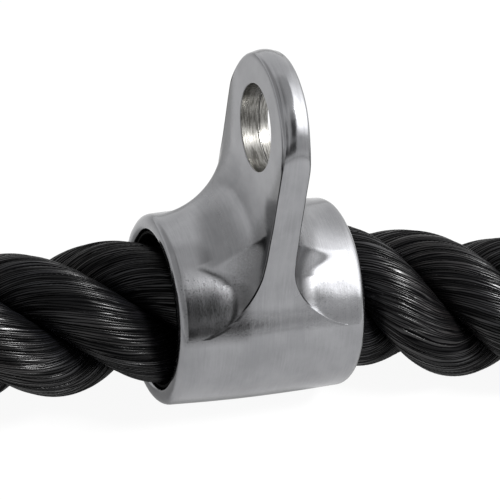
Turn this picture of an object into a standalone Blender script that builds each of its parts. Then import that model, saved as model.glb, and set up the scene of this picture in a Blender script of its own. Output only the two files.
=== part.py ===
"""Triceps rope attachment for a cable machine, in metres, +Z up.

A cast barrel with an upright eye holds one thick rope at its middle. The two free stretches lie on
the floor, drawn in a slack S, and each ends in a screwed-on rubber stopper. The origin is on the
floor under the middle of the barrel, and the barrel's bore runs along X.
"""

import math

import bmesh
import bpy
from mathutils import Vector

MM = 0.001

# Rope
ROPE_RADIUS = 17.7 * MM
ROPE_PLAY = 0.7 * MM
CORE_HALF_LENGTH = 12.0 * MM
BEND_END_REACH = 70.0 * MM
SWING_AXIS_REACH = 50.0 * MM
BEND_POINT_SPACING = 8.0 * MM
LIMB_POINT_SPACING = 30.0 * MM
SQUARE_END_RUN = 3.0 * MM
CORD_SIDES_RESOLUTION = 4

# Bore sleeve
SLEEVE_WALL = 0.7 * MM
SLEEVE_SETBACK = 1.0 * MM
SLEEVE_CHAMFER = 0.2 * MM

# Casting: barrel
BARREL_LENGTH = 47.0 * MM
BARREL_WALL = 4.4 * MM
OUTER_RIM_ROUND = 2.2 * MM
INNER_RIM_ROUND = 0.9 * MM
END_TAPER = 0.6 * MM

# Casting: eye
EYE_THICKNESS = 7.0 * MM
EYE_INSET = 4.8 * MM
EYE_STANDOFF = 26.2 * MM
EYE_EDGE_ROUND = 1.0 * MM
EYE_HOLE_RADIUS = 10.3 * MM
EYE_HOLE_RISE = 1.2 * MM
EYE_HOLE_CHAMFER = 0.25 * MM
SHOULDER_FILLET = 30.0 * MM

# Casting: the relieved flanks that sweep up from the barrel to the eye's faces
FLANK_RELIEF = 0.2 * MM
FLANK_TOP_RADIUS = 17.5 * MM
FLANK_TOP_SPAN = math.radians(12)
RIDGE_LOW_SHARE = 0.7
RIDGE_TOP_RISE = 1.8 * MM
RIDGE_TOP_STEP = 0.4 * MM
RIDGE_EDGE_ROUND = 0.25 * MM
PLAIN_FLANK_SHARE = 0.94

# Stopper
STOPPER_NECK_WALL = 3.0 * MM
STOPPER_FLARE = 5.5 * MM
STOPPER_MOUTH_ROUND = 1.2 * MM
STOPPER_SOCKET_DEPTH = 30.0 * MM
STOPPER_WEB = 4.7 * MM
STOPPER_FACE_RIM = 3.1 * MM
RECESS_RADIUS = 13.0 * MM

# End band
BAND_LENGTH = 24.0 * MM
BAND_WALL = 0.9 * MM
BAND_EDGE_ROUND = 0.3 * MM

# End hardware
SCREW_RADIUS = 4.2 * MM
SCREW_TIP_COVER = 5.6 * MM
SCREW_TIP_LENGTH = 6.0 * MM
SCREW_HEAD_HEIGHT = 4.6 * MM
SCREW_HEAD_RADIUS = 7.2 * MM
SCREW_HEADROOM = 1.1 * MM
WASHER_PLAY = 0.8 * MM
WASHER_THICKNESS = 2.0 * MM
WASHER_CHAMFER = 0.3 * MM
PLUG_SEAT_STEP = 0.9 * MM
PLUG_SEAT_DEPTH = 3.0 * MM
PLUG_CROWN = 0.8 * MM
PLUG_SKIRT_WALL = 1.6 * MM
PLUG_SKIRT_DEPTH = 3.4 * MM

# Clearances and the overrun of cutters
GAP = 0.3 * MM
OVERRUN = 4.0 * MM
MERGE = 0.01 * MM

# How finely round shapes are cut
ROUND_STEPS = 48
FLANK_STEPS = 10
LOWER_ARC_STEPS = 12
RIDGE_ARC_STEPS = 5
SHOULDER_STEPS = 7
SIDE_STEPS = 5
TOP_ARC_STEPS = 10

# Places worked out from the sizes above, in the bore
SLEEVE_INNER_RADIUS = ROPE_RADIUS + ROPE_PLAY
SLEEVE_OUTER_RADIUS = SLEEVE_INNER_RADIUS + SLEEVE_WALL
BORE_RADIUS = SLEEVE_OUTER_RADIUS + GAP
BARREL_RADIUS = BORE_RADIUS + BARREL_WALL
AXIS_HEIGHT = BARREL_RADIUS
RIM_ROUND = min(OUTER_RIM_ROUND, BARREL_WALL - FLANK_RELIEF - INNER_RIM_ROUND)

# On the eye, with heights above the bore's axis
EYE_HALF_WIDTH = BARREL_RADIUS - EYE_INSET
EYE_ARC_HEIGHT = BARREL_RADIUS + EYE_STANDOFF
EYE_HOLE_HEIGHT = EYE_ARC_HEIGHT + EYE_HOLE_RISE
SHOULDER_REACH = EYE_HALF_WIDTH + SHOULDER_FILLET
SHOULDER_HEIGHT = math.sqrt((BARREL_RADIUS + SHOULDER_FILLET) ** 2 - SHOULDER_REACH**2)
SHOULDER_ANGLE = math.atan2(SHOULDER_HEIGHT, SHOULDER_REACH)
RIDGE_LOW_ANGLE = SHOULDER_ANGLE * RIDGE_LOW_SHARE
RIDGE_LOW_HEIGHT = BARREL_RADIUS * math.sin(RIDGE_LOW_ANGLE)
RIDGE_TOP_HEIGHT = SHOULDER_HEIGHT + RIDGE_TOP_RISE

# At the rope's ends, along the rope from the stopper's mouth
SOCKET_RADIUS = ROPE_RADIUS + GAP
HOLE_FOR_SCREW = SCREW_RADIUS + GAP
WASHER_RADIUS = RECESS_RADIUS - WASHER_PLAY
WEB_FACE = STOPPER_SOCKET_DEPTH + STOPPER_WEB
SCREW_HEAD_SEAT = WEB_FACE + GAP + WASHER_THICKNESS + GAP
PLUG_SEAT = SCREW_HEAD_SEAT + SCREW_HEAD_HEIGHT + SCREW_HEADROOM
PLUG_SEAT_RADIUS = RECESS_RADIUS + PLUG_SEAT_STEP
STOPPER_LENGTH = PLUG_SEAT + PLUG_SEAT_DEPTH
STOPPER_NECK_RADIUS = SOCKET_RADIUS + STOPPER_NECK_WALL
STOPPER_RADIUS = STOPPER_NECK_RADIUS + STOPPER_FLARE
STOPPER_FACE_RADIUS = PLUG_SEAT_RADIUS + STOPPER_FACE_RIM

# The rope's route on each side, in real places chosen by hand, with heights above the bore's axis.
# It runs straight in the barrel and again at the stopper's mouth, which is its last point, and lies
# on the floor between them. At its last height the stopper lies on the floor too.
RIGHT_ROUTE = [
    (0 * MM, 0 * MM, 0 * MM),
    (9 * MM, 0 * MM, 0 * MM),
    (15 * MM, 0 * MM, 0 * MM),
    (24 * MM, -0.4 * MM, -0.45 * MM),
    (34 * MM, -1.6 * MM, -2.1 * MM),
    (46 * MM, -3.7 * MM, -3.9 * MM),
    (58 * MM, -5.9 * MM, -5.1 * MM),
    (72 * MM, -8.3 * MM, -5.7 * MM),
    (92 * MM, -11.5 * MM, -5.9 * MM),
    (120 * MM, -15.7 * MM, -5.9 * MM),
    (155 * MM, -20.7 * MM, -5.9 * MM),
    (188 * MM, -24.9 * MM, -5.6 * MM),
    (214 * MM, -27.6 * MM, -3.8 * MM),
    (238 * MM, -29.2 * MM, -0.8 * MM),
    (258 * MM, -29.9 * MM, 1.8 * MM),
    (276 * MM, -30 * MM, 2.7 * MM),
    (290 * MM, -30 * MM, 2.7 * MM),
    (303 * MM, -30 * MM, 2.7 * MM),
]
LEFT_ROUTE = [
    (0 * MM, 0 * MM, 0 * MM),
    (-12 * MM, 0 * MM, 0 * MM),
    (-24 * MM, 0 * MM, -0.05 * MM),
    (-40 * MM, 0 * MM, -0.4 * MM),
    (-60 * MM, 0.3 * MM, -1.2 * MM),
    (-84 * MM, 1.8 * MM, -2.6 * MM),
    (-112 * MM, 5.2 * MM, -4.3 * MM),
    (-142 * MM, 10.5 * MM, -5.5 * MM),
    (-172 * MM, 16.8 * MM, -5.85 * MM),
    (-200 * MM, 22.5 * MM, -5 * MM),
    (-226 * MM, 26.9 * MM, -2.6 * MM),
    (-250 * MM, 29.5 * MM, 0.6 * MM),
    (-276 * MM, 30 * MM, 2.7 * MM),
    (-290 * MM, 30 * MM, 2.7 * MM),
    (-303 * MM, 30 * MM, 2.7 * MM),
]

# Colour, metallic, roughness
FINISHES = {
    "nickel_plate": ((0.60, 0.60, 0.61), 1.0, 0.25),
    "black_rope": ((0.018, 0.018, 0.02), 0.0, 0.55),
    "black_nylon": ((0.012, 0.012, 0.013), 0.0, 0.4),
    "shrink_band": ((0.02, 0.02, 0.022), 0.0, 0.35),
    "black_rubber": ((0.03, 0.03, 0.031), 0.0, 0.7),
    "zinc_steel": ((0.62, 0.63, 0.65), 1.0, 0.35),
    "plug_plastic": ((0.025, 0.025, 0.027), 0.0, 0.45),
}


# Scene, materials and objects

def clear_scene():
    for old in list(bpy.data.objects):
        bpy.data.objects.remove(old, do_unlink=True)


def finish(name):
    """The material of that name, made the first time it is asked for."""
    found = bpy.data.materials.get(name)
    if found:
        return found
    colour, metallic, roughness = FINISHES[name]
    material = bpy.data.materials.new(name)
    material.use_nodes = True
    shader = material.node_tree.nodes["Principled BSDF"]
    shader.inputs["Base Color"].default_value = (*colour, 1.0)
    shader.inputs["Metallic"].default_value = metallic
    shader.inputs["Roughness"].default_value = roughness
    return material


def add_object(name, data, parent, place, turn=0.0):
    """Links an object at a world place, under the empty of the body that carries it."""
    made = bpy.data.objects.new(name, data)
    bpy.context.collection.objects.link(made)
    if parent:
        made.parent = parent
        made.location = Vector(place) - parent.matrix_world.translation
    else:
        made.location = place
    made.rotation_euler = (0.0, 0.0, turn)
    return made


def add_empty(name, parent, place):
    """A body's reference point, on the axis that the body moves on."""
    empty = add_object(name, None, parent, place)
    bpy.context.view_layer.update()
    return empty


def shaded_mesh(name, bm, material):
    """Turns a bmesh into a mesh with outward faces, smooth where it is round."""
    bmesh.ops.remove_doubles(bm, verts=bm.verts, dist=MERGE)
    bmesh.ops.recalc_face_normals(bm, faces=bm.faces)
    mesh = bpy.data.meshes.new(name)
    bm.to_mesh(mesh)
    bm.free()
    mesh.shade_smooth()
    mesh.set_sharp_from_angle(angle=math.radians(35))
    mesh.materials.append(finish(material))
    return mesh


def turned(name, profile, material, closed, steps=ROUND_STEPS):
    """Spins a profile of (along X, radius) points about X. A closed profile makes a ring."""
    bm = bmesh.new()
    verts = [bm.verts.new((along, 0.0, radius)) for along, radius in profile]
    pairs = list(zip(verts, verts[1:]))
    if closed:
        pairs.append((verts[-1], verts[0]))
    edges = [bm.edges.new(pair) for pair in pairs]
    bmesh.ops.spin(bm, geom=verts + edges, cent=(0, 0, 0), axis=(1, 0, 0), angle=math.tau,
                   steps=steps, use_merge=True)
    return shaded_mesh(name, bm, material)


def arc(centre, radius, start, end, steps):
    """Points on an arc, both ends included, with angles in radians."""
    points = []
    for step in range(steps + 1):
        angle = start + (end - start) * step / steps
        points.append((centre[0] + radius * math.cos(angle), centre[1] + radius * math.sin(angle)))
    return points


# Casting

def eye_outline():
    """Half of the casting's outline across the bore, as (y, height above the axis), bottom to top."""
    points = arc((0, 0), BARREL_RADIUS, -math.pi / 2, RIDGE_LOW_ANGLE, LOWER_ARC_STEPS)
    for step in range(1, RIDGE_ARC_STEPS + 1):
        share = (step / RIDGE_ARC_STEPS) ** 2
        angle = RIDGE_LOW_ANGLE + (SHOULDER_ANGLE - RIDGE_LOW_ANGLE) * share
        points.append((BARREL_RADIUS * math.cos(angle), BARREL_RADIUS * math.sin(angle)))
    points += arc((SHOULDER_REACH, SHOULDER_HEIGHT), SHOULDER_FILLET, math.pi + SHOULDER_ANGLE,
                  math.pi, SHOULDER_STEPS)[1:]
    for step in range(1, SIDE_STEPS):
        height = SHOULDER_HEIGHT + (EYE_ARC_HEIGHT - SHOULDER_HEIGHT) * step / SIDE_STEPS
        points.append((EYE_HALF_WIDTH, height))
    points += arc((0, EYE_ARC_HEIGHT), EYE_HALF_WIDTH, 0, math.pi / 2, TOP_ARC_STEPS)
    return points


def blend_share(value, low, high):
    """0 below low, 1 above high, and a smooth change between them."""
    share = min(1.0, max(0.0, (value - low) / (high - low)))
    return share * share * (3.0 - 2.0 * share)


def end_taper(x):
    """How much thinner the casting gets towards its ends, as the draft of a mould leaves it."""
    return END_TAPER * (abs(x) / (BARREL_LENGTH / 2)) ** 1.5


def ridge_reach(height):
    """How far from mid-length the crisp ridge runs at a height above the axis."""
    top = EYE_THICKNESS / 2 + RIDGE_TOP_STEP
    share = (RIDGE_TOP_HEIGHT - height) / (RIDGE_TOP_HEIGHT - RIDGE_LOW_HEIGHT)
    share = min(1.0, max(0.0, share))
    return BARREL_LENGTH / 2 - (BARREL_LENGTH / 2 - top) * math.sqrt(1.0 - share * share)


def fillet_through(run, rise):
    """Radius of the fillet, tangent to barrel and eye face, that passes run out and rise up."""
    return run + rise + math.sqrt(2 * run * rise)


def flank_radius(outline_radius, height, angle):
    """Radius of the sweep from the barrel to the eye's face at one angle round the bore."""
    top_rise = math.hypot(EYE_HALF_WIDTH, RIDGE_TOP_HEIGHT) - BARREL_RADIUS + FLANK_RELIEF
    side = fillet_through(RIDGE_TOP_STEP, top_rise)
    if height <= RIDGE_TOP_HEIGHT:
        rise = outline_radius - (BARREL_RADIUS - FLANK_RELIEF)
        return fillet_through(ridge_reach(height) - EYE_THICKNESS / 2, rise)
    low = math.atan2(RIDGE_TOP_HEIGHT, EYE_HALF_WIDTH)
    return side + (FLANK_TOP_RADIUS - side) * blend_share(angle, low, low + FLANK_TOP_SPAN)


def flank_rise(x, radius):
    """How high the sweep stands over the barrel at a place along X, below the eye's face."""
    run = x - EYE_THICKNESS / 2
    return radius - math.sqrt(max(0.0, radius**2 - max(0.0, radius - run) ** 2))


def flank_path(rim, rise, radius):
    """Points of the sweep, as (along X, rise), from the rim to a rise on the eye's face."""
    face = EYE_THICKNESS / 2
    out = rim - face
    start = math.asin(max(0.0, 1.0 - out / radius))
    end = math.acos(max(0.0, 1.0 - rise / radius))
    lengths = (max(0.0, out - radius), radius * (end - start), max(0.0, rise - radius))
    points = []
    for step in range(FLANK_STEPS + 1):
        walked = sum(lengths) * step / FLANK_STEPS
        straight = min(walked, lengths[0])
        turning = min(walked - straight, lengths[1])
        climb = min(walked - straight - turning, lengths[2])
        angle = start + turning / radius
        points.append((face + radius * (1 - math.sin(angle)) + lengths[0] - straight,
                       radius * (1 - math.cos(angle)) + climb))
    return points


def casting_section(outline_point):
    """Closed section at one outline point: half from rim to mid-length, then the mirrored half."""
    outline_radius = math.hypot(*outline_point)
    height = outline_point[1]
    angle = math.atan2(height, abs(outline_point[0]))
    root = BARREL_RADIUS - FLANK_RELIEF
    rim = BARREL_LENGTH / 2 - RIM_ROUND
    on_eye = blend_share(height, RIDGE_LOW_HEIGHT, RIDGE_TOP_HEIGHT)
    ridge_edge = min(RIDGE_EDGE_ROUND, FLANK_RELIEF / 2)
    edge = ridge_edge + (EYE_EDGE_ROUND - ridge_edge) * on_eye
    last = rim * PLAIN_FLANK_SHARE
    flank = [(rim + (last - rim) * step / FLANK_STEPS, outline_radius)
             for step in range(FLANK_STEPS + 1)]
    if height > RIDGE_LOW_HEIGHT:
        rise = outline_radius - root - edge
        radius = flank_radius(outline_radius, height, angle)
        if flank_rise(rim - edge, radius) < rise:
            flank = [(x, root + up) for x, up in flank_path(rim, rise, radius)]
    end_x, end_r = flank[-1]
    corner = (end_x - edge * (1 - math.sqrt(0.5)), outline_radius - edge * (1 - math.sqrt(0.5)))
    band = [(min(corner[0], end_x), max(corner[1], end_r)), (end_x - edge, outline_radius)]
    rim_x, rim_r = flank[0]
    outer = arc((rim_x, rim_r - RIM_ROUND), RIM_ROUND, 0, math.pi / 2, 3)[:-1]
    inner_x = BARREL_LENGTH / 2 - INNER_RIM_ROUND
    inner = arc((inner_x, BORE_RADIUS + INNER_RIM_ROUND), INNER_RIM_ROUND, -math.pi / 2, 0, 2)
    half = inner + [(x, r - end_taper(x)) for x, r in outer + flank + band]
    return half + [(0.0, outline_radius)] + [(-x, r) for x, r in reversed(half)]


def casting_mesh():
    """Skins the sections, one for each point of the outline, into one closed body."""
    half = eye_outline()
    outline = half + [(-y, z) for y, z in reversed(half[1:-1])]
    bm = bmesh.new()
    rings = []
    for point in outline:
        reach = math.hypot(*point)
        across, up = point[0] / reach, point[1] / reach
        rings.append([bm.verts.new((x, r * across, r * up)) for x, r in casting_section(point)])
    for ring, following in zip(rings, rings[1:] + rings[:1]):
        for index in range(len(ring)):
            after = (index + 1) % len(ring)
            bm.faces.new((ring[index], ring[after], following[after], following[index]))
    return shaded_mesh("eye_casting", bm, "nickel_plate")


def eye_cutter(parent):
    """The eye's bore with a chamfer at each face, as a cutter."""
    face = EYE_THICKNESS / 2
    flare = EYE_HOLE_RADIUS + EYE_HOLE_CHAMFER
    half = [(face + OVERRUN, 0.0), (face + OVERRUN, flare), (face, flare),
            (face - EYE_HOLE_CHAMFER, EYE_HOLE_RADIUS)]
    profile = half + [(-x, r) for x, r in reversed(half)]
    mesh = turned("eye_bore_cutter", profile, "nickel_plate", closed=False)
    place = (0.0, 0.0, AXIS_HEIGHT + EYE_HOLE_HEIGHT)
    cutter = add_object("eye_bore_cutter", mesh, parent, place)
    cutter.hide_render = True
    cutter.display_type = "WIRE"
    return cutter


def build_casting(body):
    casting = add_object("eye_casting", casting_mesh(), body, (0.0, 0.0, AXIS_HEIGHT))
    cut = casting.modifiers.new("eye_bore", "BOOLEAN")
    cut.operation = "DIFFERENCE"
    cut.solver = "EXACT"
    cut.object = eye_cutter(body)


def build_sleeve(body):
    reach = BARREL_LENGTH / 2 - SLEEVE_SETBACK
    inset = reach - SLEEVE_CHAMFER
    low, high = SLEEVE_INNER_RADIUS, SLEEVE_OUTER_RADIUS
    profile = [(-reach, low), (-reach, high - SLEEVE_CHAMFER), (-inset, high), (inset, high),
               (reach, high - SLEEVE_CHAMFER), (reach, low)]
    mesh = turned("bore_sleeve", profile, "black_nylon", closed=True)
    add_object("bore_sleeve", mesh, body, (0.0, 0.0, AXIS_HEIGHT))


# Rope

def smooth_curve(points, per_span=24):
    """Dense points on a Catmull-Rom curve through the route's points."""
    ends = [points[0] * 2 - points[1]] + points + [points[-1] * 2 - points[-2]]
    dense = []
    for a, b, c, d in zip(ends, ends[1:], ends[2:], ends[3:]):
        for step in range(per_span):
            t = step / per_span
            dense.append((b * 2 + (c - a) * t + (a * 2 - b * 5 + c * 4 - d) * t**2
                          + (b * 3 - a - c * 3 + d) * t**3) / 2)
    return dense + [points[-1]]


def cut_between(curve, start, end):
    """The part of a dense curve between two reaches along X, both ends included."""
    def at(reach):
        for a, b in zip(curve, curve[1:]):
            if abs(a.x) <= reach <= abs(b.x):
                return a.lerp(b, (reach - abs(a.x)) / (abs(b.x) - abs(a.x)))
        return curve[-1]
    return [at(start)] + [p for p in curve if start < abs(p.x) < end] + [at(end)]


def spaced(curve, spacing):
    """Evenly spaced points on a curve, with both of its ends run square for a short way."""
    lengths = [0.0]
    for a, b in zip(curve, curve[1:]):
        lengths.append(lengths[-1] + (b - a).length)
    count = max(2, round(lengths[-1] / spacing))
    points = [curve[0]]
    index = 0
    for step in range(1, count):
        wanted = lengths[-1] * step / count
        while lengths[index + 1] < wanted:
            index += 1
        share = (wanted - lengths[index]) / (lengths[index + 1] - lengths[index])
        points.append(curve[index].lerp(curve[index + 1], share))
    points.append(curve[-1])
    first = points[0] + (curve[1] - curve[0]).normalized() * SQUARE_END_RUN
    last = points[-1] - (curve[-1] - curve[-2]).normalized() * SQUARE_END_RUN
    return [points[0], first] + points[1:-1] + [last, points[-1]]


def rope_tube(name, body, points):
    """One stretch of rope as a round tube with flat ends."""
    origin = body.matrix_world.translation
    data = bpy.data.curves.new(name, "CURVE")
    data.dimensions = "3D"
    data.bevel_depth = ROPE_RADIUS
    data.bevel_resolution = CORD_SIDES_RESOLUTION
    data.use_fill_caps = True
    spline = data.splines.new("POLY")
    spline.points.add(len(points) - 1)
    for spot, point in zip(spline.points, points):
        spot.co = (*(point - origin), 1.0)
    data.materials.append(finish("black_rope"))
    add_object(name, data, body, origin)


def build_core(body):
    reach = CORE_HALF_LENGTH
    profile = [(-reach, 0.0), (-reach, ROPE_RADIUS), (reach, ROPE_RADIUS), (reach, 0.0)]
    mesh = turned("rope_core", profile, "black_rope", closed=False)
    add_object("rope_core", mesh, body, (0.0, 0.0, AXIS_HEIGHT))


def build_free_rope(side, body, curve):
    """The stretch that bends at the barrel's mouth and the stretch that the hand holds."""
    bend = cut_between(curve, CORE_HALF_LENGTH + GAP, BEND_END_REACH)
    limb = cut_between(curve, BEND_END_REACH + GAP, abs(curve[-1].x))
    rope_tube(f"rope_bend_{side}", body, spaced(bend, BEND_POINT_SPACING))
    rope_tube(f"rope_limb_{side}", body, spaced(limb, LIMB_POINT_SPACING))


# Rope ends, each modelled along +X from the stopper's mouth

def stopper_profile():
    """Closed section of the rubber stopper: socket, web, screw recess and plug seat."""
    waist = STOPPER_SOCKET_DEPTH / 3
    widest = STOPPER_LENGTH * 2 / 3
    outer = arc((STOPPER_MOUTH_ROUND, STOPPER_NECK_RADIUS - STOPPER_MOUTH_ROUND),
                STOPPER_MOUTH_ROUND, math.pi, math.pi / 2, 3)
    flare = STOPPER_RADIUS - STOPPER_NECK_RADIUS
    for step in range(1, 7):
        share = step / 6
        outer.append((waist + (widest - waist) * share,
                      STOPPER_NECK_RADIUS + flare * blend_share(share, 0.0, 1.0)))
    dome = STOPPER_RADIUS - STOPPER_FACE_RADIUS
    for step in range(1, 7):
        angle = math.pi / 2 * step / 6
        outer.append((widest + (STOPPER_LENGTH - widest) * math.sin(angle),
                      STOPPER_FACE_RADIUS + dome * math.cos(angle)))
    inner = [(STOPPER_LENGTH, PLUG_SEAT_RADIUS), (PLUG_SEAT, PLUG_SEAT_RADIUS),
             (PLUG_SEAT, RECESS_RADIUS), (WEB_FACE, RECESS_RADIUS), (WEB_FACE, HOLE_FOR_SCREW),
             (STOPPER_SOCKET_DEPTH, HOLE_FOR_SCREW), (STOPPER_SOCKET_DEPTH, SOCKET_RADIUS),
             (0.0, SOCKET_RADIUS)]
    return outer + inner


def band_profile():
    low = SOCKET_RADIUS
    high = SOCKET_RADIUS + BAND_WALL
    end = -GAP
    start = end - BAND_LENGTH
    return [(start, low), (start, high - BAND_EDGE_ROUND), (start + BAND_EDGE_ROUND, high),
            (end - BAND_EDGE_ROUND, high), (end, high - BAND_EDGE_ROUND), (end, low)]


def tail_profile():
    end = STOPPER_SOCKET_DEPTH - GAP
    return [(GAP, HOLE_FOR_SCREW), (GAP, ROPE_RADIUS), (end, ROPE_RADIUS), (end, HOLE_FOR_SCREW)]


def washer_profile():
    start = WEB_FACE + GAP
    end = start + WASHER_THICKNESS
    return [(start, HOLE_FOR_SCREW), (start, WASHER_RADIUS - WASHER_CHAMFER),
            (start + WASHER_CHAMFER, WASHER_RADIUS), (end - WASHER_CHAMFER, WASHER_RADIUS),
            (end, WASHER_RADIUS - WASHER_CHAMFER), (end, HOLE_FOR_SCREW)]


def screw_mesh(name):
    """A hexagon-headed screw: the head is six-sided and the shank is turned, in one body."""
    tip = SCREW_TIP_COVER
    bm = bmesh.new()
    ring_sides = 24
    sections = [(tip + SCREW_TIP_LENGTH, SCREW_RADIUS), (SCREW_HEAD_SEAT, SCREW_RADIUS)]
    rings = []
    for along, radius in sections:
        rings.append([bm.verts.new((along, radius * math.cos(math.tau * side / ring_sides),
                                    radius * math.sin(math.tau * side / ring_sides)))
                      for side in range(ring_sides)])
    flat_angle = math.tau / 6
    for along in (SCREW_HEAD_SEAT, SCREW_HEAD_SEAT + SCREW_HEAD_HEIGHT):
        ring = []
        for side in range(ring_sides):
            angle = math.tau * side / ring_sides
            off = (angle + flat_angle / 2) % flat_angle - flat_angle / 2
            radius = SCREW_HEAD_RADIUS * math.cos(flat_angle / 2) / math.cos(off)
            ring.append(bm.verts.new((along, radius * math.cos(angle), radius * math.sin(angle))))
        rings.append(ring)
    for ring, following in zip(rings, rings[1:]):
        for index in range(ring_sides):
            after = (index + 1) % ring_sides
            bm.faces.new((ring[index], ring[after], following[after], following[index]))
    point = bm.verts.new((tip, 0.0, 0.0))
    for index in range(ring_sides):
        bm.faces.new((rings[0][(index + 1) % ring_sides], rings[0][index], point))
    bm.faces.new(rings[-1])
    return shaded_mesh(name, bm, "zinc_steel")


def plug_profile():
    """Half section of the push-in plug: a crowned disc on a round skirt."""
    disc = PLUG_SEAT_RADIUS - GAP
    seat = PLUG_SEAT + GAP
    face = STOPPER_LENGTH - PLUG_CROWN
    skirt = RECESS_RADIUS - GAP
    hollow = skirt - PLUG_SKIRT_WALL
    foot = seat - PLUG_SKIRT_DEPTH
    crown = [(face + PLUG_CROWN * math.sin(math.pi / 2 * step / 4),
              disc * math.cos(math.pi / 2 * step / 4)) for step in range(4)]
    return [(seat, 0.0), (seat, hollow), (foot, hollow), (foot, skirt), (seat, skirt),
            (seat, disc), *crown, (face + PLUG_CROWN, 0.0)]


def build_end(side, body, mouth, turn):
    """Band, tail, stopper, washer, screw and plug at one end of the rope."""
    pieces = [
        (f"end_band_{side}", band_profile(), "shrink_band", True),
        (f"rope_tail_{side}", tail_profile(), "black_rope", True),
        (f"end_stopper_{side}", stopper_profile(), "black_rubber", True),
        (f"end_washer_{side}", washer_profile(), "zinc_steel", True),
        (f"end_plug_{side}", plug_profile(), "plug_plastic", False),
    ]
    for name, profile, material, closed in pieces:
        add_object(name, turned(name, profile, material, closed), body, mouth, turn)
    name = f"end_screw_{side}"
    add_object(name, screw_mesh(name), body, mouth, turn)


def build():
    clear_scene()
    casting_body = add_empty("casting_body", None, (0.0, 0.0, AXIS_HEIGHT))
    build_casting(casting_body)
    sleeve_body = add_empty("sleeve_body", casting_body, (0.0, 0.0, AXIS_HEIGHT))
    build_sleeve(sleeve_body)
    rope_body = add_empty("rope_body", sleeve_body, (0.0, 0.0, AXIS_HEIGHT))
    build_core(rope_body)
    for side, route, turn in (("right", RIGHT_ROUTE, 0.0), ("left", LEFT_ROUTE, math.pi)):
        curve = smooth_curve([Vector((x, y, AXIS_HEIGHT + rise)) for x, y, rise in route])
        pivot = cut_between(curve, 0.0, SWING_AXIS_REACH)[-1]
        limb_body = add_empty(f"limb_body_{side}", rope_body, pivot)
        build_free_rope(side, limb_body, curve)
        build_end(side, limb_body, curve[-1], turn)


build()
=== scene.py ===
"""Looks of a triceps rope attachment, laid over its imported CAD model.

Metres, +Z up. The origin is on the floor under the middle of the barrel, and the barrel's bore
runs along X. A nickel-plated casting with an upright eye holds a black three-strand rope. The two
free stretches of the rope lie on the floor, drawn in a slack S, and each ends in a rubber stopper.
"""

import math

import bmesh
import bpy
import numpy as np
from mathutils import Matrix, Vector, noise


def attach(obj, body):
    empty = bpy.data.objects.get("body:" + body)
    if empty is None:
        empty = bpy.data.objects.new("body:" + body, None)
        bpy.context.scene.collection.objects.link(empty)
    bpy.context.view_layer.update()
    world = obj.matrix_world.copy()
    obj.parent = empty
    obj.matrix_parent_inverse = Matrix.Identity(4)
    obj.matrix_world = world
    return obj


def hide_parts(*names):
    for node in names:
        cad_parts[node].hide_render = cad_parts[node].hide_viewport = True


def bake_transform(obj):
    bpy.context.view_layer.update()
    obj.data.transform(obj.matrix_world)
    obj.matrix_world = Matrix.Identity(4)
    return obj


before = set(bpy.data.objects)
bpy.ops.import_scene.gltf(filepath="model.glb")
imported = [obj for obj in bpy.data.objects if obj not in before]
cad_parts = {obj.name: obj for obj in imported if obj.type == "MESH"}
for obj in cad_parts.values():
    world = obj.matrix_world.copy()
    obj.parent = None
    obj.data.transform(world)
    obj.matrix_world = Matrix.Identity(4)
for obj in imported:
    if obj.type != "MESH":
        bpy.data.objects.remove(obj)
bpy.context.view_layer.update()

MM = 0.001

# Camera, fitted to the photograph
PHOTO_PIXELS = 500
LENS_MM = 180.0
SENSOR_MM = 36.0
CAMERA_TURN = math.radians(23.81)
CAMERA_HEIGHT = math.radians(37.48)
CAMERA_ROLL = math.radians(8.81)
CAMERA_DISTANCE = 0.61013
BORE_CENTRE_PIXEL = (242.61, 299.64)

# Rope
ROPE_RADIUS = 17.7 * MM
STRANDS = 3
STRAND_RADIUS = 7.9 * MM
LAY_LENGTH = 77.0 * MM
LAY_PHASE = math.radians(90.0)
YARNS = 14
YARN_LAY = 49.0 * MM
YARN_RELIEF = 0.35 * MM
YARN_RELIEF_MIDDLE = 0.8
YARN_ROUNDNESS = 0.5
YARN_WANDER = 0.175
YARN_WANDER_LENGTH = 13.0 * MM
FIBRE_UNIT = 10.0 * MM
STRAND_STEPS_ALONG = 480
STRAND_STEPS_AROUND = 64
STRAND_INNER_SHARE = 0.55
AXIS_HEIGHT = 23.8 * MM

# Casting, in the CAD source's sizes
BARREL_HALF_LENGTH = 23.5 * MM
BORE_RADIUS = 19.4 * MM
BARREL_RADIUS = 23.8 * MM
INNER_RIM_ROUND = 0.9 * MM
OUTER_RIM_ROUND = 2.2 * MM
EYE_HALF_THICKNESS = 3.5 * MM
EYE_HALF_WIDTH = 19.0 * MM
EYE_ARC_HEIGHT = 50.0 * MM
EYE_HOLE_RADIUS = 10.3 * MM
EYE_HOLE_HEIGHT = 51.2 * MM
SHOULDER_FILLET = 30.0 * MM
END_TAPER = 0.6 * MM
FLANK_RELIEF = 0.2 * MM
FLANK_TOP_RADIUS = 17.5 * MM
FLANK_TOP_SPAN = math.radians(12)
RIDGE_LOW_SHARE = 0.7
RIDGE_TOP_RISE = 1.8 * MM
RIDGE_TOP_STEP = 0.4 * MM
RIDGE_EDGE_ROUND = 0.25 * MM
RELIEF_FADE = 6.0 * MM

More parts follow.
